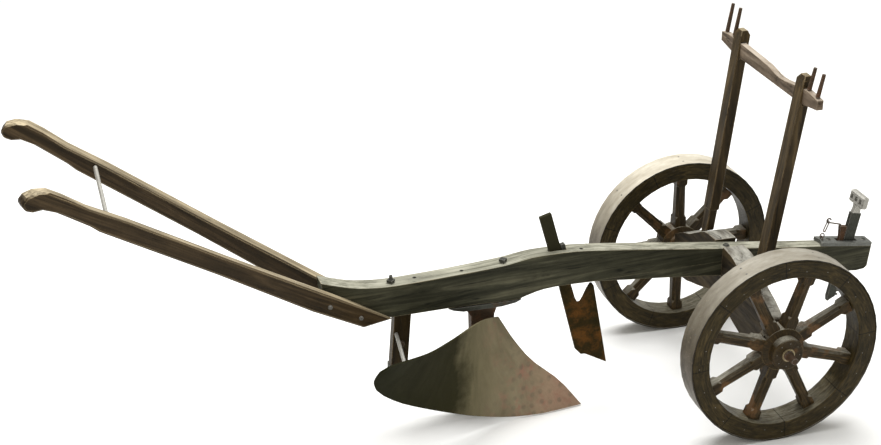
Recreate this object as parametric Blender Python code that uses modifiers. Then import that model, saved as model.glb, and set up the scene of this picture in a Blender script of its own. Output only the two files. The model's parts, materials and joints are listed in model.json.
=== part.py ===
"""Two-wheeled wooden walking plow: beam, handles, moldboard, coulter, fore-carriage and hitch."""
import math

import bmesh
import bpy
from mathutils import Matrix, Vector

# Driving dimensions in metres. X runs forward, Z up; the plow frame's zero is the wheel axle line.
AXLE_X = 0.75565           # axle line, forward of the middle of the plow's length
GAP = 0.0003               # clearance between touching pieces
WHEEL_RADIUS = 0.275
TRACK = 0.670
TREAD_WIDTH = 0.076
TYRE_THICKNESS = 0.0035
FELLOE_INNER = 0.2216
SPOKES = 8
SPOKE_ANGLE_RIGHT = math.radians(27.5)
SPOKE_ANGLE_LEFT = math.radians(-1.5)
HUB_RADIUS = 0.062
HUB_NOSE_RADIUS = 0.046
HUB_NOSE = 0.055           # hub face, outward of the wheel's middle plane
HUB_BACK = -0.042
AXLE_RADIUS = 0.0142
BORE_RADIUS = AXLE_RADIUS + GAP
REGULATOR_LEAN = math.radians(10.5)
REGULATOR_BASE = Vector((0.380, 0.0, 0.394))
COULTER_LEAN = math.radians(-17.0)
COULTER_BASE = Vector((-0.529, 0.0, 0.480))
PLATE_SLOPE = math.atan(0.126)
POST_Y = 0.172
POST_X = 0.022
POST_STEP_Z = 0.460
POST_TOP_Z = 0.995
POST_LEAN = 0.1170         # forward travel per unit of height
POST_SPLAY = 0.028         # outward travel per unit of height
CROSSBAR_Z = 0.940
HANDLE_THICKNESS = 0.040
HANDLE_FRONT = Vector((-0.995, -0.032))
HANDLE_REAR = Vector((-1.955, -0.254))

SIDE = Matrix(((1, 0, 0), (0, 0, -1), (0, 1, 0))).to_4x4()      # outline in X-Z, thickness along Y
FRONT = Matrix(((0, 0, 1), (1, 0, 0), (0, 1, 0))).to_4x4()      # outline in Y-Z, thickness along X
FLAT = Matrix.Identity(4)                                       # outline in X-Y, thickness along Z
TO_Y = Matrix.Rotation(math.pi / 2, 4, "X")                     # turned axis Z becomes -Y

COLOURS = {
    "beam_wood": ((0.115, 0.112, 0.085), 0.75, 0.0),
    "handle_wood": ((0.150, 0.100, 0.060), 0.65, 0.0),
    "post_wood": ((0.110, 0.075, 0.045), 0.65, 0.0),
    "crossbar_wood": ((0.250, 0.205, 0.150), 0.75, 0.0),
    "wheel_wood": ((0.075, 0.055, 0.030), 0.60, 0.0),
    "tyre_iron": ((0.230, 0.210, 0.175), 0.45, 0.7),
    "dark_iron": ((0.070, 0.070, 0.065), 0.55, 0.8),
    "rusty_iron": ((0.190, 0.105, 0.055), 0.80, 0.4),
    "moldboard_iron": ((0.180, 0.165, 0.120), 0.50, 0.7),
    "bright_iron": ((0.450, 0.450, 0.430), 0.35, 0.9),
}


def clear_scene():
    for item in list(bpy.data.objects):
        bpy.data.objects.remove(item)


def collection(name):
    group = bpy.data.collections.new(name)
    bpy.context.scene.collection.children.link(group)
    return group


def make_materials():
    for name, (colour, roughness, metallic) in COLOURS.items():
        made = bpy.data.materials.new(name)
        made.use_nodes = True
        shader = made.node_tree.nodes["Principled BSDF"]
        shader.inputs["Base Color"].default_value = (*colour, 1.0)
        shader.inputs["Roughness"].default_value = roughness
        shader.inputs["Metallic"].default_value = metallic


clear_scene()
make_materials()
PARTS = collection("walking_plow")
CUTTERS = collection("cutters")


def empty(name, location, rotation=(0, 0, 0), parent=None):
    made = bpy.data.objects.new(name, None)
    made.location = location
    made.rotation_euler = rotation
    made.parent = parent
    PARTS.objects.link(made)
    return made


PLOW = empty("plow_frame", (AXLE_X, 0, 0))
WHEEL_RIGHT = empty("wheel_right_axis", (0, -TRACK / 2, WHEEL_RADIUS), parent=PLOW)
WHEEL_LEFT = empty("wheel_left_axis", (0, TRACK / 2, WHEEL_RADIUS), (0, 0, math.pi), PLOW)
REGULATOR = empty("regulator_axis", REGULATOR_BASE, (0, REGULATOR_LEAN, 0), PLOW)
COULTER = empty("coulter_axis", COULTER_BASE, (0, COULTER_LEAN, 0), PLOW)


def part(name, mesh, material, parent=PLOW, location=(0, 0, 0), rotation=(0, 0, 0)):
    mesh.name = name
    mesh.materials.append(bpy.data.materials[material])
    made = bpy.data.objects.new(name, mesh)
    made.parent = parent
    made.location = location
    made.rotation_euler = rotation
    PARTS.objects.link(made)
    return made


def round_edges(item, width, angle=40.0, segments=1):
    bevel = item.modifiers.new("round edges", "BEVEL")
    bevel.width = width
    bevel.segments = segments
    bevel.limit_method = "ANGLE"
    bevel.angle_limit = math.radians(angle)


def cut(item, cutter_mesh, parent=PLOW, location=(0, 0, 0), rotation=(0, 0, 0), operation="DIFFERENCE"):
    cutter = bpy.data.objects.new(item.name + "_cutter", cutter_mesh)
    cutter.parent = parent
    cutter.location = location
    cutter.rotation_euler = rotation
    cutter.hide_render = True
    cutter.display_type = "WIRE"
    CUTTERS.objects.link(cutter)
    boolean = item.modifiers.new("cut", "BOOLEAN")
    boolean.operation = operation
    boolean.solver = "EXACT"
    boolean.object = cutter


def finish_mesh(work, name, smooth=False):
    bmesh.ops.recalc_face_normals(work, faces=work.faces[:])
    mesh = bpy.data.meshes.new(name)
    work.to_mesh(mesh)
    work.free()
    if smooth:
        mesh.shade_smooth()
        mesh.set_sharp_from_angle(angle=math.radians(35))
    return mesh


def evaluated(item, matrix=FLAT, smooth=False):
    """The item's finished surface as a mesh, its caps joined."""
    bpy.context.scene.collection.objects.link(item)
    raw = bpy.data.meshes.new_from_object(item.evaluated_get(bpy.context.evaluated_depsgraph_get()))
    bpy.data.objects.remove(item)
    work = bmesh.new()
    work.from_mesh(raw)
    bpy.data.meshes.remove(raw)
    bmesh.ops.remove_doubles(work, verts=work.verts[:], dist=0.00002)
    bmesh.ops.transform(work, matrix=matrix, verts=work.verts[:])
    return finish_mesh(work, "piece", smooth)


def plate(points, thickness, matrix=SIDE):
    """A flat outline given a thickness, centred on its plane."""
    curve = bpy.data.curves.new("outline", "CURVE")
    curve.dimensions = "2D"
    curve.fill_mode = "BOTH"
    curve.extrude = thickness / 2
    spline = curve.splines.new("POLY")
    spline.points.add(len(points) - 1)
    for target, (across, up) in zip(spline.points, points):
        target.co = (across, up, 0, 1)
    spline.use_cyclic_u = True
    return evaluated(bpy.data.objects.new("outline", curve), matrix)


def wire(points, radius, closed=False, resolution=2):
    curve = bpy.data.curves.new("wire", "CURVE")
    curve.dimensions = "3D"
    curve.bevel_depth = radius
    curve.bevel_resolution = resolution
    curve.use_fill_caps = True
    spline = curve.splines.new("POLY")
    spline.points.add(len(points) - 1)
    for target, place in zip(spline.points, points):
        target.co = (*place, 1)
    spline.use_cyclic_u = closed
    return evaluated(bpy.data.objects.new("wire", curve), smooth=True)


def turned(profile, steps=32, closed=False, matrix=FLAT):
    """A profile of (radius, height) turned about Z."""
    work = bmesh.new()
    points = [work.verts.new((radius, 0, height)) for radius, height in profile]
    for first, second in zip(points, points[1:]):
        work.edges.new((first, second))
    if closed:
        work.edges.new((points[-1], points[0]))
    mesh = bpy.data.meshes.new("profile")
    work.to_mesh(mesh)
    work.free()
    item = bpy.data.objects.new("profile", mesh)
    screw = item.modifiers.new("turn", "SCREW")
    screw.steps = steps
    screw.render_steps = steps
    screw.use_merge_vertices = True
    screw.merge_threshold = 0.00001
    return evaluated(item, matrix, smooth=True)


def box(size, centre=(0, 0, 0), matrix=FLAT):
    work = bmesh.new()
    placed = matrix @ Matrix.Translation(centre) @ Matrix.Diagonal((*size, 1))
    bmesh.ops.create_cube(work, size=1.0, matrix=placed)
    return finish_mesh(work, "box")


def rod(start, end, radius, end_radius=None, segments=12):
    start = Vector(start)
    along = Vector(end) - start
    turn = Vector((0, 0, 1)).rotation_difference(along).to_matrix().to_4x4()
    work = bmesh.new()
    bmesh.ops.create_cone(work, cap_ends=True, segments=segments, radius1=radius,
                          radius2=radius if end_radius is None else end_radius,
                          depth=along.length, matrix=Matrix.Translation(start + along / 2) @ turn)
    return finish_mesh(work, "rod", smooth=True)


def loft(rings):
    """Skin through rings of equal count, closed at both ends."""
    work = bmesh.new()
    loops = [[work.verts.new(place) for place in ring] for ring in rings]
    for low, high in zip(loops, loops[1:]):
        for index in range(len(low)):
            after = (index + 1) % len(low)
            work.faces.new((low[index], low[after], high[after], high[index]))
    work.faces.new(loops[0])
    work.faces.new(loops[-1])
    return finish_mesh(work, "loft")


def gather(pieces):
    """Several separate solids, (mesh, matrix) each, in one mesh."""
    work = bmesh.new()
    for mesh, matrix in pieces:
        copy = mesh.copy()
        copy.transform(matrix)
        work.from_mesh(copy)
        bpy.data.meshes.remove(copy)
    return finish_mesh(work, "group")


def smooth_line(points, steps=3):
    """Catmull-Rom curve through open points."""
    ends = [points[0], *points, points[-1]]
    line = []
    for before, first, second, after in zip(ends, ends[1:], ends[2:], ends[3:]):
        for step in range(steps):
            t = step / steps
            line.append(tuple(
                0.5 * (2 * b + (c - a) * t + (2 * a - 5 * b + 4 * c - d) * t * t
                       + (3 * b - a - 3 * c + d) * t ** 3)
                for a, b, c, d in zip(before, first, second, after)))
    line.append(tuple(points[-1]))
    return line


def arc(radius, start, end, steps):
    return [(radius * math.cos(start + (end - start) * step / steps),
             radius * math.sin(start + (end - start) * step / steps)) for step in range(steps + 1)]


def between(table, x):
    """Straight-line reading of an (x, value) table."""
    for (x0, v0), (x1, v1) in zip(table, table[1:]):
        if x <= x1:
            return v0 + (v1 - v0) * max(0.0, (x - x0) / (x1 - x0))
    return table[-1][1]


BEAM_HALF_WIDTH = [(-1.21, 0.026), (-1.0, 0.026), (-0.85, 0.026), (-0.70, 0.028), (-0.58, 0.026),
                   (-0.45, 0.024), (0.0, 0.023), (0.447, 0.021)]
BEAM_TOP = [(-1.195, 0.484), (-1.145, 0.468), (-1.093, 0.455), (-1.014, 0.448), (-0.935, 0.450),
            (-0.870, 0.453), (-0.800, 0.457), (-0.740, 0.461), (-0.680, 0.466), (-0.630, 0.474),
            (-0.580, 0.479), (-0.471, 0.478), (-0.316, 0.461), (-0.100, 0.434), (0.120, 0.407),
            (0.280, 0.389)]
BEAM_BOTTOM = [(0.405, 0.294), (0.15, 0.322), (-0.194, 0.358), (-0.311, 0.368), (-0.420, 0.378),
               (-0.533, 0.379), (-0.590, 0.372), (-0.640, 0.357)]


def beam():
    nose = [(0.447, 0.3680), (0.440, 0.305), (0.431, 0.297)]
    tail = [(-0.840, 0.3585), (-1.001, 0.355), (-1.185, 0.398)]
    outline = smooth_line(BEAM_TOP) + nose + smooth_line(BEAM_BOTTOM, 2) + tail
    mesh = plate(outline, 2.0)
    for vertex in mesh.vertices:
        vertex.co.y *= between(BEAM_HALF_WIDTH, vertex.co.x)
    made = part("beam", mesh, "beam_wood")
    round_edges(made, 0.003)
    cut(made, box((0.0505, 0.0140, 0.30), (0.0055, 0, -0.07)), COULTER)
    cut(made, box((0.068, 0.0170, 0.40), (-0.006, 0, -0.05)), REGULATOR)


def beam_bolts():
    nut = rod((0, 0, 0), (0, 0, 0.008), 0.0125, segments=4)
    stud = rod((0, 0, 0.0083), (0, 0, 0.020), 0.0055, 0.0045, segments=10)
    head = rod((0, 0, 0), (0, 0, 0.005), 0.010, 0.006)
    part("rear_nut", nut, "dark_iron", PLOW, (-0.998, -0.003, 0.4497))
    part("rear_stud", stud, "dark_iron", PLOW, (-0.998, -0.003, 0.4497))
    part("frog_nut", nut.copy(), "dark_iron", PLOW, (-0.682, -0.006, 0.4692))
    part("carriage_bolt", head, "dark_iron", PLOW, (-0.012, -0.004, 0.4248))


def front_plate():
    length, width, thickness, corner = 0.168, 0.048, 0.011, 0.003
    half = width / 2
    outline = [(0, -half), (length - corner, -half), (length, corner - half), (length, half - corner),
               (length - corner, half), (0, half), (0.008, 0)]
    tilt = (0, PLATE_SLOPE, 0)
    rear = Vector((0.281, 0, 0.3888 + thickness / 2 + 0.001))
    made = part("front_plate", plate(outline, thickness, FLAT), "dark_iron", PLOW, rear, tilt)
    cut(made, box((0.068, 0.0180, 0.20), (-0.006, 0, 0)), REGULATOR)
    dome = turned([(0.0, 0.0035), (0.005, 0.0028), (0.0085, 0.0), (0.0, 0.0)], 12)
    top = thickness / 2 + GAP
    turn = Matrix.Translation(rear) @ Matrix.Rotation(PLATE_SLOPE, 4, "Y")
    for name, x in (("rear", 0.034), ("front", 0.150)):
        part("plate_bolt_" + name, dome.copy(), "dark_iron", PLOW, turn @ Vector((x, 0, top)), tilt)
    legs = [(0.012, y, z) for y, z in ((-0.006, top), (-0.006, 0.012), (-0.003, 0.0155), (0.003, 0.0155),
                                       (0.006, 0.012), (0.006, top))]
    part("chain_staple", wire(legs, 0.0016), "rusty_iron", PLOW, rear, tilt)


def regulator():
    pitch, teeth, root, tip, rear = 0.0115, 12, 0.0085, 0.0165, -0.0165
    outline = [(rear, 0.080), (rear, -0.188), (rear + 0.004, -0.203), (0.002, -0.190), (root, -0.186)]
    for tooth in range(teeth):
        low = -0.183 + tooth * pitch
        outline += [(root, low), (tip, low + 0.002), (tip, low + 0.005), (root, low + 0.0065)]
    outline += [(tip, -0.035), (tip, 0.080)]
    part("regulator_bar", plate(outline, 0.014), "dark_iron", REGULATOR)
    neck = loft([[(x * s, y * t, z) for x, y in ((-1, -1), (1, -1), (1, 1), (-1, 1))]
                 for s, t, z in ((0.0125, 0.0065, 0.0803), (0.009, 0.008, 0.095), (0.008, 0.012, 0.1080))])
    head = part("regulator_head", box((0.021, 0.074, 0.036), (0.0, 0, 0.1210)), "bright_iron", REGULATOR)
    round_edges(head, 0.004)
    cut(head, neck, REGULATOR, operation="UNION")
    holes = gather([(box((0.05, 0.014, 0.016)), Matrix.Translation((0, y, 0.1210)))
                    for y in (-0.023, 0.0, 0.023)])
    cut(head, holes, REGULATOR)


def regulator_wedge():
    front = -0.0172
    outline = [(-0.024, -0.080), (front, -0.080), (front, 0.037), (-0.040, 0.036), (-0.0325, 0.004)]
    part("regulator_wedge", plate(outline, 0.013), "rusty_iron", REGULATOR)
    eye = [(x - 0.0784, 0, z + 0.0496)
           for x, z in arc(0.0065, math.radians(290), math.radians(20), 9)]
    line = [(-0.0367, 0, 0.0368), (-0.0367, 0, 0.0390), (-0.0385, 0, 0.0405)] + eye
    part("wedge_rod", wire(line, 0.0023), "rusty_iron", REGULATOR)


LINK_TOP = Vector((0.3112, 0.0, 0.4562))
LINK_LOW = Vector((0.2990, 0.0, 0.4232))


def chain():
    middle = (LINK_TOP + LINK_LOW) / 2
    along = (LINK_TOP - LINK_LOW).normalized()
    tilt = math.atan2(along.x, along.z)
    half, end = (LINK_TOP - LINK_LOW).length / 2, 0.0048
    oval = [(0, y, z + half - end) for y, z in arc(end, 0, math.pi, 5)]
    oval += [(0, y, z - half + end) for y, z in arc(end, math.pi, 2 * math.pi, 5)]
    part("chain_link", wire(oval, 0.0018, True), "rusty_iron", PLOW, middle, (0, tilt, 0))
    ring = [(x, 0, z) for x, z in arc(0.0066, 0, math.tau * 11 / 12, 11)]
    part("chain_ring", wire(ring, 0.0018, True), "rusty_iron", PLOW, (0.2948, 0, 0.4120))


def coulter():
    half = 0.0175
    outline = [(-half, 0.114), (half, 0.114), (0.0150, -0.105), (0.0150, -0.165), (0.0185, -0.186),
               (0.027, -0.189), (0.040, -0.176), (0.055, -0.158), (0.068, -0.146), (0.0745, -0.146),
               (0.0765, -0.155), (0.0507, -0.409), (-0.0026, -0.354), (-0.014, -0.350), (-0.0247, -0.328),
               (-0.0185, -0.120)]
    made = part("coulter", plate(outline, 0.013), "rusty_iron", COULTER)
    round_edges(made, 0.0015)
    key = plate([(0.0180, 0.010), (0.0300, 0.010), (0.0285, -0.070), (0.0180, -0.070)], 0.013)
    part("coulter_wedge", key, "dark_iron", COULTER)


TREE_TOP = [(0.0, 0.430), (0.075, 0.428), (0.120, 0.413), (0.190, 0.374), (0.235, 0.358), (0.288, 0.330)]
TREE_LOW = [(0.288, 0.240), (0.220, 0.217), (0.160, 0.230), (0.094, 0.249), (0.036, 0.268), (0.0, 0.270)]


def axle_tree():
    half = smooth_line(TREE_TOP, 2) + smooth_line(TREE_LOW, 2)
    outline = half + [(-y, z) for y, z in reversed(half[1:-1])]
    made = part("axle_tree", plate(outline, 0.064, FRONT), "beam_wood")
    round_edges(made, 0.004, 50)
    slope = math.atan((0.358 - 0.294) / (0.405 + 0.194))
    cut(made, box((0.20, 0.0500, 0.20), (0, 0, 0.1)), PLOW, (0, 0, 0.3355), (0, slope, 0))
    nose = TRACK / 2 + HUB_NOSE + 0.0063
    arm = turned([(0.0, nose - GAP), (AXLE_RADIUS, nose - GAP), (AXLE_RADIUS, 0.2915), (0.024, 0.2915),
                  (0.024, 0.2884), (0.0, 0.2884)], 24)
    for name, side in (("right", -1), ("left", 1)):
        part("axle_arm_" + name, arm.copy(), "rusty_iron", PLOW, (0, 0, WHEEL_RADIUS), (-side * math.pi / 2, 0, 0))
        stud = rod((0, side * nose, 0), (0, side * (nose + 0.032), 0), 0.0115, 0.0095)
        part("axle_end_" + name, stud, "rusty_iron", PLOW, (0, 0, WHEEL_RADIUS))


def wheel(name, centre, first_angle):
    half = TREAD_WIDTH / 2
    tyre_inner = WHEEL_RADIUS - TYRE_THICKNESS
    tyre = turned([(WHEEL_RADIUS, half), (WHEEL_RADIUS, -half), (tyre_inner, -half), (tyre_inner, half)],
                  48, True, TO_Y)
    part("tyre_" + name, tyre, "tyre_iron", centre)
    hub = [(HUB_NOSE_RADIUS - 0.003, HUB_NOSE), (HUB_NOSE_RADIUS, HUB_NOSE - 0.003), (HUB_NOSE_RADIUS, 0.030),
           (HUB_RADIUS, 0.022), (HUB_RADIUS, -0.022), (HUB_NOSE_RADIUS, -0.032), (HUB_NOSE_RADIUS, HUB_BACK),
           (BORE_RADIUS + 0.004, HUB_BACK), (BORE_RADIUS + 0.004, HUB_NOSE)]
    made = part("hub_spokes_" + name, turned(hub, 32, True, TO_Y), "wheel_wood", centre)
    bush = [(BORE_RADIUS + 0.0037, HUB_NOSE + 0.002), (BORE_RADIUS + 0.0037, HUB_BACK - 0.001),
            (BORE_RADIUS, HUB_BACK - 0.001), (BORE_RADIUS, HUB_NOSE + 0.002)]
    part("hub_bush_" + name, turned(bush, 24, True, TO_Y), "bright_iron", centre)
    rim = turned([(tyre_inner - GAP, half), (tyre_inner - GAP, -half), (FELLOE_INNER, -half), (FELLOE_INNER, half)],
                 48, True, TO_Y)
    part("felloes_" + name, rim, "wheel_wood", centre)
    stations = [(0.052, 0.0180, 0.0200, 0.002), (0.088, 0.0175, 0.0200, 0.002),
                (0.094, 0.0155, 0.0180, 0.007), (0.190, 0.0145, 0.0165, 0.007),
                (0.197, 0.0170, 0.0190, 0.002), (FELLOE_INNER - 0.0022, 0.0175, 0.0195, 0.002)]
    spoke = loft([[(reach, y, z) for y, z in chamfered(wide, deep, chamfer)]
                  for reach, deep, wide, chamfer in stations])
    step = math.tau / SPOKES
    turns = [Matrix.Rotation(-(first_angle + step * index), 4, "Y") for index in range(SPOKES)]
    cut(made, gather([(spoke, turn) for turn in turns]), centre, operation="UNION")


def chamfered(half_y, half_z, chamfer):
    """Rectangle with cut corners, as (y, z) points."""
    quarter = [(half_y, half_z - chamfer), (half_y - chamfer, half_z)]
    right_top = quarter
    left_top = [(-y, z) for y, z in reversed(quarter)]
    left_low = [(-y, -z) for y, z in quarter]
    right_low = [(y, -z) for y, z in reversed(quarter)]
    return right_top + left_top + left_low + right_low


def rein_stand():
    cross_x = POST_X + POST_LEAN * (CROSSBAR_Z - POST_STEP_Z)
    for name, side in (("right", -1), ("left", 1)):
        def ring(z, half_x, half_y, rest=False):
            x = POST_X + POST_LEAN * (z - POST_STEP_Z)
            y = POST_Y + POST_SPLAY * (z - POST_STEP_Z)
            corners = [(x + cx * half_x, y + cy * half_y) for cx, cy in ((-1, -1), (1, -1), (1, 1), (-1, 1))]
            return [(px, side * py, between(TREE_TOP, py) + 0.0025 if rest else z) for px, py in corners]
        rings = [ring(0.395, 0.012, 0.017, True), ring(POST_STEP_Z - 0.001, 0.012, 0.018),
                 ring(POST_STEP_Z, 0.0150, 0.021), ring(POST_TOP_Z - 0.012, 0.0150, 0.021),
                 ring(POST_TOP_Z, 0.009, 0.013)]
        post = part("post_" + name, loft(rings), "post_wood")
        round_edges(post, 0.002, 60)
        cut(post, box((0.0186, 0.09, 0.0500), (cross_x, side * 0.178, 0.9400)))
    end = 0.285
    low = [(-end, 0.932), (-0.20, 0.919), (0.20, 0.919), (end, 0.932)]
    top = [(end, 0.958), (0.24, 0.9630), (0.195, 0.9625), (0.10, 0.9595), (0.0, 0.956), (-0.05, 0.948),
           (-0.10, 0.948), (-0.195, 0.9625), (-0.24, 0.9630), (-end, 0.958)]
    made = part("crossbar", plate(low + smooth_line(top, 2), 0.018, FRONT), "crossbar_wood", PLOW, (cross_x, 0, 0))
    round_edges(made, 0.002, 50)
    for side in (-1, 1):
        for y, rise in ((0.222, 0.070 + side * 0.010), (0.269, 0.072 + side * 0.010)):
            foot = 0.9655 if y < 0.25 else 0.9620
            name = ("inner" if y < 0.25 else "outer") + ("_right" if side < 0 else "_left")
            pin = rod((0, 0, 0), (0.012, 0, rise), 0.0062, 0.0050)
            part("rein_pin_" + name, pin, "rusty_iron", PLOW, (cross_x, side * y, foot))


HANDLE_TOP = [(-1.000, 0.353), (-1.162, 0.457), (-1.446, 0.638), (-1.700, 0.804), (-1.795, 0.861),
              (-1.850, 0.902), (-1.885, 0.924), (-1.917, 0.929), (-1.940, 0.923), (-1.953, 0.908)]
HANDLE_BELLY = [(-1.946, 0.890), (-1.928, 0.883), (-1.905, 0.884), (-1.874, 0.870), (-1.797, 0.816), (-1.776, 0.797),
                (-1.730, 0.767), (-1.482, 0.606), (-1.233, 0.437), (-1.085, 0.349)]


def handles():
    run = HANDLE_REAR - HANDLE_FRONT
    stretch = run.length / abs(run.x)
    heading = math.atan2(run.y, run.x) + math.pi
    points = [((x - HANDLE_FRONT.x) * stretch, z) for x, z in HANDLE_TOP + HANDLE_BELLY]
    shape = plate(points, HANDLE_THICKNESS)
    shape.transform(Matrix.Translation((HANDLE_FRONT.x, HANDLE_FRONT.y, 0))
                    @ Matrix.Rotation(heading, 4, "Z") @ Matrix.Translation((0, HANDLE_THICKNESS / 2, 0)))
    for name, side in (("right", -1), ("left", 1)):
        mirror = Matrix.Diagonal((1, -side, 1, 1))
        made = part("handle_" + name, gather([(shape, mirror)]), "handle_wood")
        round_edges(made, 0.004)
        cut(made, box((0.40, 0.0532, 0.60), (-1.16, 0, 0.40)))
    rod_ends = (Vector((-1.7370, 0.1590, 0.806)), Vector((-1.7500, -0.1625, 0.800)))
    part("handle_rod", rod(*rod_ends, 0.0055), "bright_iron")
    outward = Vector((math.sin(heading), -math.cos(heading), 0))
    for name, x, z in (("rear", -1.184, 0.438), ("front", -1.095, 0.382)):
        face = Vector((x, HANDLE_FRONT.y + (x - HANDLE_FRONT.x) * run.y / run.x, z)) + outward * GAP
        head = rod(face, face + outward * 0.005, 0.0065, 0.0050)
        part("handle_bolt_" + name + "_right", gather([(head, FLAT)]), "bright_iron")
        part("handle_bolt_" + name + "_left", gather([(head, Matrix.Diagonal((1, -1, 1, 1)))]), "bright_iron")


def heel():
    post = plate([(-0.990, 0.3545), (-0.943, 0.3545), (-0.953, 0.1925), (-1.000, 0.1925)], 0.028)
    part("heel_post", post, "post_wood", PLOW, (0, 0.002, 0))
    stay = rod((-0.986, -0.0136, 0.296), (-1.0005, -0.1700, 0.262), 0.0050)
    part("moldboard_stay", stay, "bright_iron")
    sole = [(-0.740, 0.0), (-0.570, 0.0), (-0.530, 0.010), (-0.550, 0.045), (-0.620, 0.060), (-0.800, 0.105),
            (-0.950, 0.192), (-1.000, 0.192), (-1.000, 0.150), (-0.800, 0.030)]
    part("landside", plate(sole, 0.034), "dark_iron", PLOW, (0, 0.010, 0))
    head = rod((-0.970, -0.0123, 0.262), (-0.970, -0.0180, 0.262), 0.009, 0.007)
    part("heel_bolt", head, "rusty_iron")


def frog():
    flange = plate([(-0.842, 0.0), (-0.632, 0.0), (-0.650, -0.008), (-0.690, -0.014), (-0.800, -0.014),
                    (-0.828, -0.007)], 0.060)
    part("frog_flange", flange, "dark_iron", PLOW, (0, 0, 0.3565))
    rings = [[(x + cx * half, y + cy * deep, z) for cx, cy in ((-1, -1), (1, -1), (1, 1), (-1, 1))]
             for x, y, z, half, deep in ((-0.742, 0.010, 0.3422, 0.048, 0.022), (-0.735, 0.012, 0.310, 0.034, 0.017),
                                         (-0.735, 0.012, 0.200, 0.030, 0.015), (-0.735, 0.012, 0.1050, 0.044, 0.015))]
    part("frog_neck", loft(rings), "rusty_iron")


MOLD_FRONT = [(-0.450, -0.046, 0.003), (-0.512, -0.025, 0.080), (-0.594, -0.016, 0.153),
              (-0.648, -0.013, 0.225), (-0.677, -0.014, 0.273), (-0.697, -0.018, 0.307)]
MOLD_LOW = [(-0.450, -0.046, 0.003), (-0.520, -0.056, 0.003), (-0.580, -0.062, 0.003), (-0.660, -0.062, 0.007),
            (-0.735, -0.080, 0.030), (-0.811, -0.105, 0.063), (-0.910, -0.140, 0.115), (-0.984, -0.170, 0.159),
            (-1.032, -0.190, 0.191), (-1.081, -0.215, 0.234), (-1.103, -0.230, 0.262)]
MOLD_TOP = [(-0.697, -0.018, 0.307), (-0.744, -0.050, 0.322), (-0.792, -0.090, 0.331), (-0.846, -0.135, 0.333),
            (-0.903, -0.180, 0.336), (-0.956, -0.215, 0.338), (-1.020, -0.250, 0.347), (-1.073, -0.270, 0.350),
            (-1.102, -0.265, 0.333)]
MOLD_REAR = [(-1.103, -0.230, 0.262), (-1.113, -0.245, 0.288), (-1.112, -0.256, 0.310), (-1.102, -0.265, 0.333)]


def along_line(points, share):
    """Point a given share of the way along a smooth line's length."""
    line = [Vector(place) for place in smooth_line(points, 6)]
    lengths = [(b - a).length for a, b in zip(line, line[1:])]
    left = share * sum(lengths)
    for start, end, length in zip(line, line[1:], lengths):
        if left <= length:
            return start.lerp(end, left / length)
        left -= length
    return line[-1]


def moldboard():
    """Curved blade stretched between its four edges, with an even thickness behind."""
    rows, columns = 10, 18
    work = bmesh.new()
    grid = []
    for row in range(rows + 1):
        t = row / rows
        line = []
        for column in range(columns + 1):
            s = column / columns
            low, top = along_line(MOLD_LOW, s), along_line(MOLD_TOP, s)
            front, rear = along_line(MOLD_FRONT, t), along_line(MOLD_REAR, t)
            corners = ((Vector(MOLD_LOW[0]).lerp(Vector(MOLD_TOP[0]), t)) * (1 - s)
                       + (Vector(MOLD_LOW[-1]).lerp(Vector(MOLD_TOP[-1]), t)) * s)
            line.append(work.verts.new(low.lerp(top, t) + front.lerp(rear, s) - corners))
        grid.append(line)
    for low, high in zip(grid, grid[1:]):
        for a, b, c, d in zip(low, low[1:], high[1:], high):
            work.faces.new((a, b, c, d))
    made = part("moldboard", finish_mesh(work, "moldboard", smooth=True), "moldboard_iron")
    shell = made.modifiers.new("thickness", "SOLIDIFY")
    shell.thickness = 0.005
    shell.offset = 0.0


def main():
    beam()
    beam_bolts()
    front_plate()
    regulator()
    regulator_wedge()
    chain()
    coulter()
    axle_tree()
    wheel("right", WHEEL_RIGHT, SPOKE_ANGLE_RIGHT)
    wheel("left", WHEEL_LEFT, SPOKE_ANGLE_LEFT)
    rein_stand()
    handles()
    heel()
    frog()
    moldboard()


main()
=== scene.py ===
"""Looks for the two-wheeled walking plow: materials, small fittings, light and camera."""
import json
import math

import bmesh
import bpy
from mathutils import Matrix, Vector


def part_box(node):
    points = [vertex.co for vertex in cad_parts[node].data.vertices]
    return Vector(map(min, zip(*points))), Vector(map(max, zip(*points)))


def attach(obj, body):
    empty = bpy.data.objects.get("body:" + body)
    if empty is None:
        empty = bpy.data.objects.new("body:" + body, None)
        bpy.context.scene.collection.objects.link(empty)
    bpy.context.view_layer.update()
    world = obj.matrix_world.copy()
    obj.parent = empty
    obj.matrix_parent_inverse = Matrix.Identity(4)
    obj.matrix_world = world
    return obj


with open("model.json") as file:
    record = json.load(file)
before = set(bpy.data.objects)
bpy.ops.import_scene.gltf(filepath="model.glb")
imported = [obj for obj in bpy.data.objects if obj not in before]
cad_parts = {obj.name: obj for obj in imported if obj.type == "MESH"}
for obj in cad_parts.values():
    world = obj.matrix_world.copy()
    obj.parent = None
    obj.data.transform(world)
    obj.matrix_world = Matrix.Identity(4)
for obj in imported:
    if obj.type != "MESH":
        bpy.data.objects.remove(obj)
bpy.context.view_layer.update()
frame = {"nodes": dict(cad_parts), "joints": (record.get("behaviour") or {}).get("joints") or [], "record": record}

JOINTS = {joint["name"]: joint for joint in frame["joints"]}
HUB_RIGHT = Vector(JOINTS["wheel_right_spin"]["pos_m"])
HUB_LEFT = Vector(JOINTS["wheel_left_spin"]["pos_m"])
AXLE_X = HUB_RIGHT.x
WHEEL_RADIUS = HUB_RIGHT.z
SPOKE_ANGLE = {"right": math.radians(27.5), "left": math.radians(1.5)}
SPOKES = 8


# ---- Node helpers ----

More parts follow.
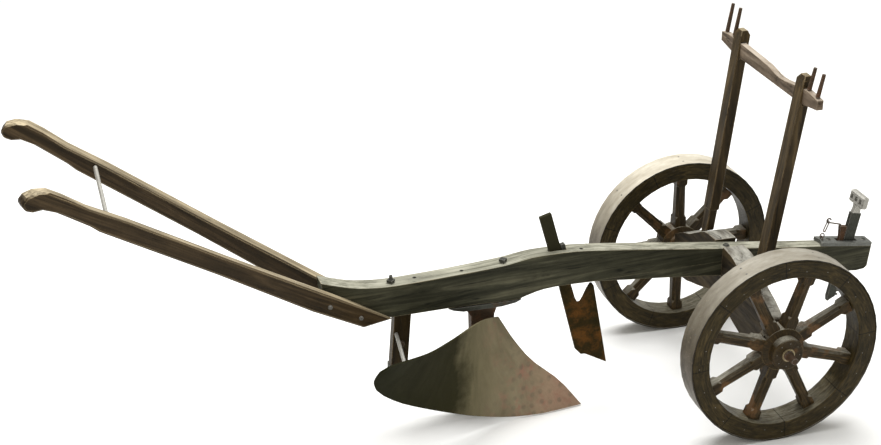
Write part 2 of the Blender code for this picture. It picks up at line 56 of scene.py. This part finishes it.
class Nodes:
    """Short calls for building one material's node tree."""

    def __init__(self, name):
        self.material = bpy.data.materials.new(name)
        self.material.use_nodes = True
        self.tree = self.material.node_tree
        self.shader = self.tree.nodes["Principled BSDF"]
        self.coordinates = self.tree.nodes.new("ShaderNodeTexCoord").outputs["Object"]

    def feed(self, socket, value):
        if isinstance(value, bpy.types.NodeSocket):
            self.tree.links.new(value, socket)
        else:
            socket.default_value = value

    def math(self, operation, first, second=0.0):
        node = self.tree.nodes.new("ShaderNodeMath")
        node.operation = operation
        self.feed(node.inputs[0], first)
        self.feed(node.inputs[1], second)
        return node.outputs[0]

    def vector(self, operation, first, second):
        node = self.tree.nodes.new("ShaderNodeVectorMath")
        node.operation = operation
        self.feed(node.inputs[0], first)
        self.feed(node.inputs[1], second)
        return node.outputs["Value" if operation == "DOT_PRODUCT" else "Vector"]

    def split(self, vector):
        node = self.tree.nodes.new("ShaderNodeSeparateXYZ")
        self.feed(node.inputs[0], vector)
        return node.outputs

    def join(self, *values):
        node = self.tree.nodes.new("ShaderNodeCombineXYZ")
        for socket, value in zip(node.inputs, values):
            self.feed(socket, value)
        return node.outputs[0]

    def scaled_join(self, values, scales):
        return self.join(*(self.math("MULTIPLY", value, scale) for value, scale in zip(values, scales)))

    def distance(self, first, second):
        """Length of the vector with these two components."""
        squares = self.math("ADD", self.math("MULTIPLY", first, first), self.math("MULTIPLY", second, second))
        return self.math("SQRT", squares)

    def mapped(self, scale, rotation=(0, 0, 0)):
        turned = self.tree.nodes.new("ShaderNodeMapping")
        self.feed(turned.inputs["Vector"], self.coordinates)
        turned.inputs["Rotation"].default_value = rotation
        return self.vector("MULTIPLY", turned.outputs[0], scale)

    def noise(self, vector, scale=1.0, detail=6.0, roughness=0.6, distortion=0.0):
        node = self.tree.nodes.new("ShaderNodeTexNoise")
        self.feed(node.inputs["Vector"], vector)
        node.inputs["Scale"].default_value = scale
        node.inputs["Detail"].default_value = detail
        node.inputs["Roughness"].default_value = roughness
        node.inputs["Distortion"].default_value = distortion
        return node.outputs[0]

    def ramp(self, value, *stops):
        node = self.tree.nodes.new("ShaderNodeValToRGB")
        self.feed(node.inputs[0], value)
        elements = node.color_ramp.elements
        while len(elements) < len(stops):
            elements.new(0.5)
        for element, (place, colour) in zip(elements, stops):
            element.position = place
            element.color = (*colour, 1.0) if isinstance(colour, tuple) else (colour, colour, colour, 1.0)
        return node.outputs[0]

    def mix(self, share, first, second, blend="MIX"):
        node = self.tree.nodes.new("ShaderNodeMix")
        node.data_type = "RGBA"
        node.blend_type = blend
        self.feed(node.inputs[0], share)
        for socket, value in ((node.inputs[6], first), (node.inputs[7], second)):
            self.feed(socket, (*value, 1.0) if isinstance(value, tuple) else value)
        return node.outputs[2]

    def facing(self, direction):
        """1 where the surface looks in the direction, -1 where it looks away."""
        normal = self.tree.nodes.new("ShaderNodeNewGeometry").outputs["Normal"]
        return self.vector("DOT_PRODUCT", normal, direction)

    def upward(self, low=0.55, high=0.95):
        """1 on faces that look up."""
        return self.ramp(self.facing((0, 0, 1)), (low, 0.0), (high, 1.0))

    def edges(self, radius=0.004):
        """1 along sharp edges."""
        soft = self.tree.nodes.new("ShaderNodeBevel")
        soft.samples = 4
        soft.inputs["Radius"].default_value = radius
        return self.ramp(self.facing(soft.outputs[0]), (0.86, 1.0), (0.985, 0.0))

    def bump(self, height, strength=0.3, distance=0.002):
        node = self.tree.nodes.new("ShaderNodeBump")
        node.inputs["Strength"].default_value = strength
        node.inputs["Distance"].default_value = distance
        self.feed(node.inputs["Height"], height)
        self.feed(self.shader.inputs["Normal"], node.outputs[0])

    def painted(self):
        """The colour that the shader has so far."""
        return self.shader.inputs["Base Color"].links[0].from_socket

    def repaint(self, colour):
        self.feed(self.shader.inputs["Base Color"], colour)
        return self.material

    def finish(self, colour, roughness, metallic=0.0, specular=0.4):
        self.feed(self.shader.inputs["Base Color"], colour)
        self.feed(self.shader.inputs["Roughness"], roughness)
        self.shader.inputs["Metallic"].default_value = metallic
        self.shader.inputs["Specular IOR Level"].default_value = specular
        return self.material


# ---- Materials ----

# Dark, middle and light grain, colour of the upper faces (weathered grey, partly painted top light) and worn edge
# of each wood.
WOODS = {
    "beam": ((0.014, 0.014, 0.007), (0.062, 0.060, 0.036), (0.145, 0.135, 0.085), (0.42, 0.41, 0.33),
             (0.36, 0.30, 0.19)),
    "axle_tree": ((0.012, 0.009, 0.005), (0.040, 0.029, 0.015), (0.130, 0.092, 0.045), (0.42, 0.41, 0.36),
                  (0.26, 0.20, 0.13)),
    "crossbar": ((0.045, 0.030, 0.018), (0.17, 0.125, 0.085), (0.28, 0.22, 0.16), (0.38, 0.33, 0.27),
                 (0.40, 0.32, 0.23)),
    "handle": ((0.012, 0.008, 0.003), (0.050, 0.032, 0.014), (0.120, 0.080, 0.041), (0.56, 0.47, 0.31),
               (0.48, 0.37, 0.21)),
    "post": ((0.014, 0.009, 0.003), (0.052, 0.034, 0.013), (0.115, 0.076, 0.032), (0.30, 0.25, 0.16),
             (0.30, 0.21, 0.11)),
    "felloe": ((0.011, 0.008, 0.002), (0.044, 0.031, 0.010), (0.100, 0.070, 0.026), (0.30, 0.28, 0.21),
               (0.24, 0.17, 0.08)),
    "spoke": ((0.011, 0.008, 0.002), (0.044, 0.028, 0.010), (0.105, 0.066, 0.025), (0.42, 0.40, 0.33),
              (0.24, 0.17, 0.08)),
}
# Ground, rust and pit colour of each iron.
IRONS = {
    "dark_forged": ((0.060, 0.062, 0.052), (0.11, 0.065, 0.035), (0.022, 0.022, 0.016)),
    "plate_iron": ((0.17, 0.175, 0.16), (0.12, 0.08, 0.05), (0.085, 0.085, 0.075)),
    "rusty_forged": ((0.070, 0.044, 0.026), (0.13, 0.066, 0.034), (0.026, 0.017, 0.010)),
    "worn_bolt_iron": ((0.17, 0.165, 0.15), (0.14, 0.08, 0.045), (0.07, 0.065, 0.055)),
    "bare_iron": ((0.42, 0.41, 0.37), (0.22, 0.14, 0.09), (0.22, 0.21, 0.19)),
    "axle_washer": ((0.40, 0.32, 0.17), (0.22, 0.12, 0.06), (0.22, 0.17, 0.09)),
}
HANDLE_RISE = 0.635        # climb of the handles per metre towards the rear
HANDLE_SPREAD = 0.2313     # parting of each handle from the middle per metre towards the rear
PEG_HOLES = ((-0.930, 0.004), (-0.800, -0.006), (-0.455, -0.008))      # X from the axle line, and Y
PEG_HOLE_RADIUS = 0.006
DIMPLE_SPACING = 1 / 34.0


def wood_finish(nodes, grain_vector, wood, gloss=0.55, top_light_share=0.9):
    """Grain, pores, drying cracks, upper faces lightened by weathering and by painted top light, and worn edges
    over a stained ground.
    """
    dark, mid, light, weathered_lit_top, bare = WOODS[wood]
    figure = nodes.noise(grain_vector, 1.0, 8.0, 0.65, 1.2)
    fibres = nodes.noise(nodes.vector("MULTIPLY", grain_vector, (1.3, 3.0, 3.0)), 1.0, 7.0, 0.72)
    blotches = nodes.noise(nodes.coordinates, 9.0, 5.0, 0.6)
    colour = nodes.ramp(figure, (0.30, dark), (0.52, mid), (0.72, light))
    colour = nodes.mix(0.55, colour, nodes.ramp(fibres, (0.38, 0.22), (0.64, 1.05)), "MULTIPLY")
    colour = nodes.mix(nodes.ramp(blotches, (0.42, 0.0), (0.75, 0.55)), colour, dark)
    # Painted top light, partly real weathering: faces that look up lighten towards the pale top colour.
    faded_and_lit = nodes.mix(nodes.ramp(fibres, (0.38, 0.75), (0.60, 0.0)), weathered_lit_top, mid)
    top_light_cover = nodes.ramp(blotches, (0.30, top_light_share), (0.75, top_light_share * 0.5))
    colour = nodes.mix(nodes.math("MULTIPLY", nodes.upward(), top_light_cover), colour, faded_and_lit)
    worn = nodes.math("MULTIPLY", nodes.edges(), nodes.ramp(blotches, (0.40, 0.15), (0.62, 0.85)))
    colour = nodes.mix(worn, colour, bare)
    slow = nodes.noise(nodes.vector("MULTIPLY", grain_vector, (0.8, 2.2, 2.2)), 1.0, 2.0, 0.5)
    crack = nodes.ramp(nodes.math("ABSOLUTE", nodes.math("SUBTRACT", slow, 0.5)), (0.0, 1.0), (0.014, 0.0))
    crack = nodes.math("MULTIPLY", crack, nodes.ramp(blotches, (0.44, 0.0), (0.56, 0.9)))
    colour = nodes.mix(crack, colour, tuple(0.25 * channel for channel in dark))
    height = nodes.math("ADD", nodes.math("MULTIPLY", figure, 0.5), fibres)
    height = nodes.math("SUBTRACT", height, nodes.math("MULTIPLY", crack, 1.5))
    nodes.bump(height, 0.45, 0.0015)
    return nodes.finish(colour, nodes.ramp(fibres, (0.3, gloss + 0.15), (0.7, gloss - 0.08)), specular=0.12)


def straight_wood(wood, scale, rotation=(0, 0, 0), gloss=0.55):
    nodes = Nodes(wood + "_timber")
    return wood_finish(nodes, nodes.mapped(scale, rotation), wood, gloss)


def beam_wood():
    """Straight timber with a few old peg holes in its upper face, painted as near-black discs of shade."""
    nodes = Nodes("beam_timber")
    wood_finish(nodes, nodes.mapped((2.2, 30.0, 30.0), (0, 0.05, 0)), "beam", 0.6)
    colour = nodes.painted()
    x, y, _ = nodes.split(nodes.coordinates)
    for along, across in PEG_HOLES:
        reach = nodes.distance(nodes.math("SUBTRACT", x, AXLE_X + along), nodes.math("SUBTRACT", y, across))
        # Painted shade: a near-black disc stands for the recess of each peg hole.
        hole_shade = nodes.ramp(nodes.math("DIVIDE", reach, PEG_HOLE_RADIUS), (0.75, 1.0), (1.0, 0.0))
        colour = nodes.mix(nodes.math("MULTIPLY", hole_shade, nodes.upward()), colour, (0.006, 0.005, 0.003))
    return nodes.repaint(colour)


def handle_wood():
    """Grain along both handles, which climb and part towards the rear."""
    nodes = Nodes("handle_timber")
    x, y, z = nodes.split(nodes.coordinates)
    across = nodes.math("ADD", nodes.math("ABSOLUTE", y), nodes.math("MULTIPLY", x, HANDLE_SPREAD))
    upright = nodes.math("ADD", z, nodes.math("MULTIPLY", x, HANDLE_RISE))
    return wood_finish(nodes, nodes.scaled_join((x, across, upright), (2.4, 34.0, 34.0)), "handle", 0.46)


def wheel_vector(nodes, hub, radial, around, across):
    """Coordinates that run round the wheel, scaled, and the plain angle."""
    x, y, z = nodes.split(nodes.vector("SUBTRACT", nodes.coordinates, tuple(hub)))
    angle = nodes.math("ARCTAN2", z, x)
    return nodes.scaled_join((angle, nodes.distance(x, z), y), (around, radial, across)), angle


def felloe_wood(name, hub, first_angle):
    """Timber ring with a dark seam midway between each two spokes."""
    nodes = Nodes(name)
    vector, angle = wheel_vector(nodes, hub, 90.0, 5.0, 60.0)
    wood_finish(nodes, vector, "felloe", 0.45, 0.8)
    turn = math.tau / SPOKES
    phase = nodes.math("SUBTRACT", angle, first_angle + turn / 2 - 4 * math.tau)
    offset = nodes.math("PINGPONG", phase, turn / 2)
    seam = nodes.ramp(nodes.math("MULTIPLY", offset, 20.0), (0.06, 0.25), (0.16, 1.0))
    return nodes.repaint(nodes.mix(1.0, nodes.painted(), seam, "MULTIPLY"))


def spoke_wood(name, hub):
    """Timber with the grain out along the spokes and orange-brown patches."""
    nodes = Nodes(name)
    vector, _ = wheel_vector(nodes, hub, 9.0, 26.0, 90.0)
    wood_finish(nodes, vector, "spoke", 0.42, 0.95)
    patches = nodes.noise(nodes.coordinates, 13.0, 4.0, 0.6)
    share = nodes.ramp(patches, (0.56, 0.0), (0.66, 0.6))
    return nodes.repaint(nodes.mix(share, nodes.painted(), (0.15, 0.075, 0.028)))


def tread_iron(name, hub, painted_sheen_level):
    """Flat iron tread: painted grey-beige sheen on the faces that look up, browner iron elsewhere, and dark edges.
    """
    nodes = Nodes(name)
    vector, _ = wheel_vector(nodes, hub, 40.0, 3.0, 30.0)
    streaks = nodes.noise(vector, 1.0, 7.0, 0.65)
    speckle = nodes.noise(nodes.coordinates, 160.0, 3.0, 0.7)
    # Painted sheen: grey-beige light on the tread's upper faces.
    painted_sheen = nodes.ramp(streaks, (0.30, (0.27, 0.235, 0.175)), (0.55, (0.43, 0.395, 0.32)),
                        (0.75, (0.58, 0.55, 0.47)))
    brown = nodes.ramp(streaks, (0.30, (0.022, 0.014, 0.004)), (0.70, (0.070, 0.048, 0.018)))
    # Painted light: each wheel's sheen is scaled by its own level.
    painted_sheen = nodes.mix(1.0, painted_sheen, (painted_sheen_level, painted_sheen_level, painted_sheen_level), "MULTIPLY")
    colour = nodes.mix(nodes.upward(0.1, 0.85), brown, painted_sheen)
    colour = nodes.mix(nodes.ramp(speckle, (0.60, 0.0), (0.72, 0.5)), colour, (0.36, 0.31, 0.20))
    sideways = nodes.math("ABSOLUTE", nodes.facing((0, 1, 0)))
    colour = nodes.mix(nodes.ramp(sideways, (0.45, 0.0), (0.85, 0.95)), colour, (0.010, 0.007, 0.003))
    nodes.bump(nodes.math("ADD", streaks, nodes.math("MULTIPLY", speckle, 0.4)), 0.25, 0.001)
    return nodes.finish(colour, nodes.ramp(streaks, (0.3, 0.55), (0.7, 0.34)), 0.1, 0.3)


def iron(name, rust_share, gloss=0.5, metallic=0.6, edge=(0.30, 0.28, 0.25)):
    """Forged iron: pitted ground, rust in patches and rubbed edges."""
    ground, rust, deep = IRONS[name]
    nodes = Nodes(name)
    patches = nodes.noise(nodes.coordinates, 16.0, 8.0, 0.65)
    pits = nodes.noise(nodes.coordinates, 240.0, 4.0, 0.7)
    colour = nodes.mix(nodes.ramp(pits, (0.35, 0.0), (0.70, 0.8)), ground, deep)
    start = 0.66 - 0.32 * rust_share
    rusty = nodes.ramp(patches, (start, 0.0), (start + 0.16, 1.0))
    warm = nodes.mix(nodes.ramp(pits, (0.35, 0.0), (0.65, 1.0)), rust, tuple(0.55 * c for c in rust))
    colour = nodes.mix(rusty, colour, warm)
    colour = nodes.mix(nodes.math("MULTIPLY", nodes.edges(0.003), 0.55), colour, edge)
    nodes.bump(nodes.math("ADD", pits, patches), 0.4, 0.0012)
    return nodes.finish(colour, nodes.ramp(patches, (0.35, gloss), (0.65, gloss + 0.25)), metallic, 0.2)


def moldboard_iron():
    """Plate with painted shade and light: olive-black towards the wing, grey-brown towards the breast, with
    pinkish rust and dimples at the share.
    """
    nodes = Nodes("moldboard_plate")
    low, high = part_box("moldboard")
    x, _, z = nodes.split(nodes.coordinates)
    wobble = nodes.noise(nodes.coordinates, 7.0, 6.0, 0.6)
    length = nodes.math("DIVIDE", nodes.math("SUBTRACT", x, low.x), high.x - low.x)
    along = nodes.math("ADD", length, nodes.math("MULTIPLY", nodes.math("SUBTRACT", wobble, 0.5), 0.22))
    # Painted shade and light: near-black towards the wing, lighter grey-brown towards the breast.
    colour = nodes.ramp(along, (0.04, (0.009, 0.009, 0.001)), (0.40, (0.020, 0.018, 0.005)),
                        (0.47, (0.125, 0.108, 0.060)), (0.72, (0.210, 0.175, 0.110)),
                        (0.93, (0.300, 0.200, 0.135)))
    streaks = nodes.noise(nodes.mapped((14.0, 40.0, 5.0)), 1.0, 8.0, 0.7, 0.6)
    colour = nodes.mix(0.6, colour, nodes.ramp(streaks, (0.30, 0.55), (0.70, 1.25)), "MULTIPLY")
    rust = nodes.noise(nodes.coordinates, 26.0, 8.0, 0.7)
    near_share = nodes.ramp(along, (0.52, 0.0), (0.72, 1.0))
    rusty = nodes.math("MULTIPLY", nodes.ramp(rust, (0.50, 0.0), (0.66, 0.8)), near_share)
    colour = nodes.mix(rusty, colour, (0.26, 0.135, 0.095))
    dimples = nodes.tree.nodes.new("ShaderNodeTexVoronoi")
    dimples.voronoi_dimensions = "2D"
    nodes.feed(dimples.inputs["Vector"], nodes.scaled_join((x, z), (1 / DIMPLE_SPACING, 1 / DIMPLE_SPACING)))
    dimples.inputs["Scale"].default_value = 1.0
    dimples.inputs["Randomness"].default_value = 0.4
    spot = nodes.ramp(dimples.outputs["Distance"], (0.16, 1.0), (0.30, 0.0))
    uneven = nodes.math("MULTIPLY", near_share, nodes.ramp(rust, (0.40, 0.2), (0.60, 1.0)))
    spot = nodes.math("MULTIPLY", spot, uneven)
    colour = nodes.mix(nodes.math("MULTIPLY", spot, 0.5), colour, (0.100, 0.098, 0.070))
    pits = nodes.noise(nodes.coordinates, 300.0, 3.0, 0.7)
    height = nodes.math("ADD", nodes.math("MULTIPLY", pits, 0.35), nodes.math("MULTIPLY", spot, -0.8))
    nodes.bump(nodes.math("ADD", height, streaks), 0.22, 0.0015)
    return nodes.finish(colour, nodes.ramp(streaks, (0.3, 0.62), (0.7, 0.48)), 0.0, 0.05)


def rusty_blade():
    """Coulter: orange rust below, blackened shank above."""
    nodes = Nodes("coulter_iron")
    low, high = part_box("coulter")
    z = nodes.split(nodes.coordinates)[2]
    patches = nodes.noise(nodes.coordinates, 18.0, 9.0, 0.68)
    pits = nodes.noise(nodes.coordinates, 200.0, 4.0, 0.7)
    height = nodes.math("DIVIDE", nodes.math("SUBTRACT", z, low.z), high.z - low.z)
    share = nodes.math("ADD", height, nodes.math("MULTIPLY", nodes.math("SUBTRACT", patches, 0.5), 0.9))
    rust = nodes.ramp(patches, (0.34, (0.012, 0.010, 0.002)), (0.48, (0.030, 0.019, 0.005)),
                      (0.62, (0.105, 0.044, 0.010)), (0.76, (0.040, 0.031, 0.012)))
    colour = nodes.mix(nodes.ramp(share, (0.45, 0.0), (0.72, 1.0)), rust, (0.026, 0.024, 0.012))
    colour = nodes.mix(nodes.ramp(pits, (0.52, 0.0), (0.70, 0.6)), colour, (0.020, 0.016, 0.009))
    nodes.bump(nodes.math("ADD", pits, patches), 0.5, 0.0015)
    return nodes.finish(colour, nodes.ramp(patches, (0.35, 0.62), (0.65, 0.85)), 0.0, 0.05)


def finishes():
    """The material of every CAD node, by the node's name."""
    made = {
        "beam": beam_wood(),
        "axle_tree": straight_wood("axle_tree", (26.0, 2.5, 26.0), gloss=0.62),
        "crossbar": straight_wood("crossbar", (30.0, 3.0, 30.0), gloss=0.6),
        "felloes_right": felloe_wood("felloe_timber_right", HUB_RIGHT, SPOKE_ANGLE["right"]),
        "felloes_left": felloe_wood("felloe_timber_left", HUB_LEFT, SPOKE_ANGLE["left"]),
        "hub_spokes_right": spoke_wood("spoke_timber_right", HUB_RIGHT),
        "hub_spokes_left": spoke_wood("spoke_timber_left", HUB_LEFT),
        # Lit and shaded copies of one tread: the painted sheen is dimmed on the near right wheel and raised on the
        # far left one.
        "tyre_right": tread_iron("tread_iron_right", HUB_RIGHT, 0.62),
        "tyre_left": tread_iron("tread_iron_left", HUB_LEFT, 1.12),
        "moldboard": moldboard_iron(),
        "coulter": rusty_blade(),
        "front_plate": iron("plate_iron", 0.1, 0.38),
    }
    washer = iron("axle_washer", 0.3, 0.4)
    made.update({"hub_bush_right": washer, "hub_bush_left": washer})
    bolt = iron("worn_bolt_iron", 0.3, 0.45, 0.5)
    for name in ("rear_right", "rear_left", "front_right", "front_left"):
        made["handle_bolt_" + name] = bolt
    by_slot = {
        "handle_wood": handle_wood(),
        "post_wood": straight_wood("post", (40.0, 40.0, 2.5), gloss=0.46),
        "dark_iron": iron("dark_forged", 0.2, 0.42),
        "rusty_iron": iron("rusty_forged", 0.6, 0.6, 0.25),
        "bright_iron": iron("bare_iron", 0.15, 0.36, 0.55, (0.6, 0.58, 0.54)),
    }
    for entry in frame["record"]["subparts"]:
        made.setdefault(entry["node"], by_slot.get(entry["material_slot"]))
    return made


FINISHES = finishes()


# ---- CAD nodes ----

BEVELS = {"felloes_right": 0.0035, "felloes_left": 0.0035, "tyre_right": 0.0014, "tyre_left": 0.0014,
          "hub_spokes_right": 0.0012, "hub_spokes_left": 0.0012, "axle_tree": 0.0012, "front_plate": 0.0012,
          "regulator_bar": 0.0008, "regulator_wedge": 0.0015, "coulter_wedge": 0.001, "heel_post": 0.003,
          "frog_flange": 0.0015, "frog_neck": 0.004, "rear_nut": 0.0012, "frog_nut": 0.0012,
          "post_right": 0.001, "post_left": 0.001, "landside": 0.001}
SMOOTH_ANGLE = math.radians(34)


def dress(name, node):
    """Gives a CAD node its material, joined smooth faces and softened edges."""
    mesh = node.data
    if "custom_normal" in mesh.attributes:
        mesh.attributes.remove(mesh.attributes["custom_normal"])
    mesh.materials.clear()
    mesh.materials.append(FINISHES[name])
    mesh.shade_smooth()
    weld = node.modifiers.new("join faces", "WELD")
    weld.merge_threshold = 0.00001
    if name in BEVELS:
        bevel = node.modifiers.new("soften edges", "BEVEL")
        bevel.width = BEVELS[name]
        bevel.segments = 2
        bevel.angle_limit = SMOOTH_ANGLE
        bevel.harden_normals = True
    else:
        split = node.modifiers.new("keep corners", "EDGE_SPLIT")
        split.split_angle = SMOOTH_ANGLE


for node_name, node_object in frame["nodes"].items():
    dress(node_name, node_object)


# ---- Nail heads ----

def piece(name, work, material, body):
    bmesh.ops.recalc_face_normals(work, faces=work.faces[:])
    mesh = bpy.data.meshes.new(name)
    work.to_mesh(mesh)
    work.free()
    mesh.shade_smooth()
    mesh.set_sharp_from_angle(angle=SMOOTH_ANGLE)
    mesh.materials.append(material)
    made = bpy.data.objects.new(name, mesh)
    bpy.context.scene.collection.objects.link(made)
    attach(made, body)
    return made


NAIL_SIDES = 10
NAIL_RINGS = ((1.0, -0.2), (0.94, 0.45), (0.6, 0.85), (0.2, 1.0))       # shares of radius and rise
NAIL_RADIUS = 0.0014
NAIL_RISE = 0.0006
TREAD_NAIL_RADIUS = 0.0032
TREAD_NAIL_RISE = 0.0004
TREAD_NAIL_OFFSETS = (-0.017, 0.017)
FELLOE_NAILS = ((-0.12, 0.248), (0.14, 0.240), (0.36, 0.252))           # turn past the spoke, and reach
FELLOE_FACE = 0.0378       # outward of the wheel's middle plane, as is the hub's face
HUB_FACE = 0.0549
HUB_NAIL_TURN = 0.2
HUB_NAIL_REACH = 0.034


def nail(work, place, outward, radius, rise):
    """A low domed head, its rim sunk in the surface."""
    turn = Vector((0, 0, 1)).rotation_difference(outward).to_matrix()
    loops = []
    for share, height in NAIL_RINGS:
        loop = []
        for index in range(NAIL_SIDES):
            angle = math.tau * index / NAIL_SIDES
            reach = radius * share
            local = Vector((reach * math.cos(angle), reach * math.sin(angle), rise * height))
            loop.append(work.verts.new(place + turn @ local))
        loops.append(loop)
    for low, high in zip(loops, loops[1:]):
        for index in range(NAIL_SIDES):
            after = (index + 1) % NAIL_SIDES
            work.faces.new((low[index], low[after], high[after], high[index]))
    work.faces.new(loops[0])
    work.faces.new(loops[-1])


def wheel_ray(angle):
    return Vector((math.cos(angle), 0, math.sin(angle)))


def wheel_nails(side, hub, outward):
    """Nail heads at every spoke: in the tread, on the felloes' outer face and on the hub's face."""
    tread, faces = bmesh.new(), bmesh.new()
    for index in range(SPOKES):
        angle = SPOKE_ANGLE[side] + math.tau * index / SPOKES
        ray = wheel_ray(angle)
        for across in TREAD_NAIL_OFFSETS:
            place = hub + ray * (WHEEL_RADIUS - TREAD_NAIL_RISE) + Vector((0, across, 0))
            nail(tread, place, ray, TREAD_NAIL_RADIUS, TREAD_NAIL_RISE)
        for turn, reach in FELLOE_NAILS:
            place = hub + wheel_ray(angle + turn) * reach + outward * FELLOE_FACE
            nail(faces, place, outward, NAIL_RADIUS, NAIL_RISE)
        place = hub + wheel_ray(angle + HUB_NAIL_TURN) * HUB_NAIL_REACH + outward * HUB_FACE
        nail(faces, place, outward, NAIL_RADIUS, NAIL_RISE)
    piece("tread_nails_" + side, tread, FINISHES["rear_nut"], "wheel_" + side)
    piece("face_nails_" + side, faces, FINISHES["handle_bolt_rear_right"], "wheel_" + side)


wheel_nails("right", HUB_RIGHT, Vector((0, -1, 0)))
wheel_nails("left", HUB_LEFT, Vector((0, 1, 0)))


# ---- Floor, light and camera ----

FLOOR_HALF = 30.0
FLOOR_GAP = 0.0005
LIT_POINT = Vector((0, 0, 0.3))
# Name, place, size and power in watts of each light.
PANELS = (("sky_panel", (0.3, 0.9, 4.5), 4.0, 330.0), ("front_panel", (-3.5, -4.0, 2.6), 3.0, 25.0))
CAMERA_AZIMUTH = math.radians(17.49)
CAMERA_FALL = math.radians(25.03)
CAMERA_ROLL = math.radians(0.5)
CAMERA_PLACE = (AXLE_X - 2.1835, -4.1663, 2.6648)
CAMERA_LENS = 74.18
CAMERA_SHIFT = (0.0047, -0.0068)


def studio():
    scene = bpy.context.scene
    scene.view_settings.view_transform = "Standard"
    world = bpy.data.worlds.new("studio")
    world.use_nodes = True
    world.node_tree.nodes["Background"].inputs["Color"].default_value = (1.0, 0.985, 0.93, 1.0)
    world.node_tree.nodes["Background"].inputs["Strength"].default_value = 0.62
    scene.world = world
    mesh = bpy.data.meshes.new("floor")
    work = bmesh.new()
    bmesh.ops.create_grid(work, x_segments=1, y_segments=1, size=FLOOR_HALF)
    work.to_mesh(mesh)
    work.free()
    mesh.materials.append(Nodes("pale_floor").finish((0.86, 0.86, 0.85, 1.0), 0.9))
    floor = bpy.data.objects.new("floor", mesh)
    floor.location.z = -FLOOR_GAP
    scene.collection.objects.link(floor)
    for name, place, size, power in PANELS:
        light = bpy.data.lights.new(name, "AREA")
        light.size = size
        light.energy = power
        lamp = bpy.data.objects.new(name, light)
        lamp.location = place
        lamp.rotation_mode = "QUATERNION"
        lamp.rotation_quaternion = (LIT_POINT - Vector(place)).to_track_quat("-Z", "Y")
        scene.collection.objects.link(lamp)


def camera():
    azimuth, fall = CAMERA_AZIMUTH, CAMERA_FALL
    ahead = Vector((math.sin(azimuth), math.cos(azimuth), 0))
    forward = math.cos(fall) * ahead - Vector((0, 0, math.sin(fall)))
    level = Vector((math.cos(azimuth), -math.sin(azimuth), 0))
    upright = level.cross(forward)
    right = math.cos(CAMERA_ROLL) * level + math.sin(CAMERA_ROLL) * upright
    up = math.cos(CAMERA_ROLL) * upright - math.sin(CAMERA_ROLL) * level
    data = bpy.data.cameras.new("camera")
    data.sensor_width = 36.0
    data.lens = CAMERA_LENS
    data.shift_x, data.shift_y = CAMERA_SHIFT
    item = bpy.data.objects.new("camera", data)
    turn = Matrix((right, up, -forward)).transposed().to_4x4()
    item.matrix_world = Matrix.Translation(CAMERA_PLACE) @ turn
    bpy.context.scene.collection.objects.link(item)
    bpy.context.scene.camera = item


studio()
camera()
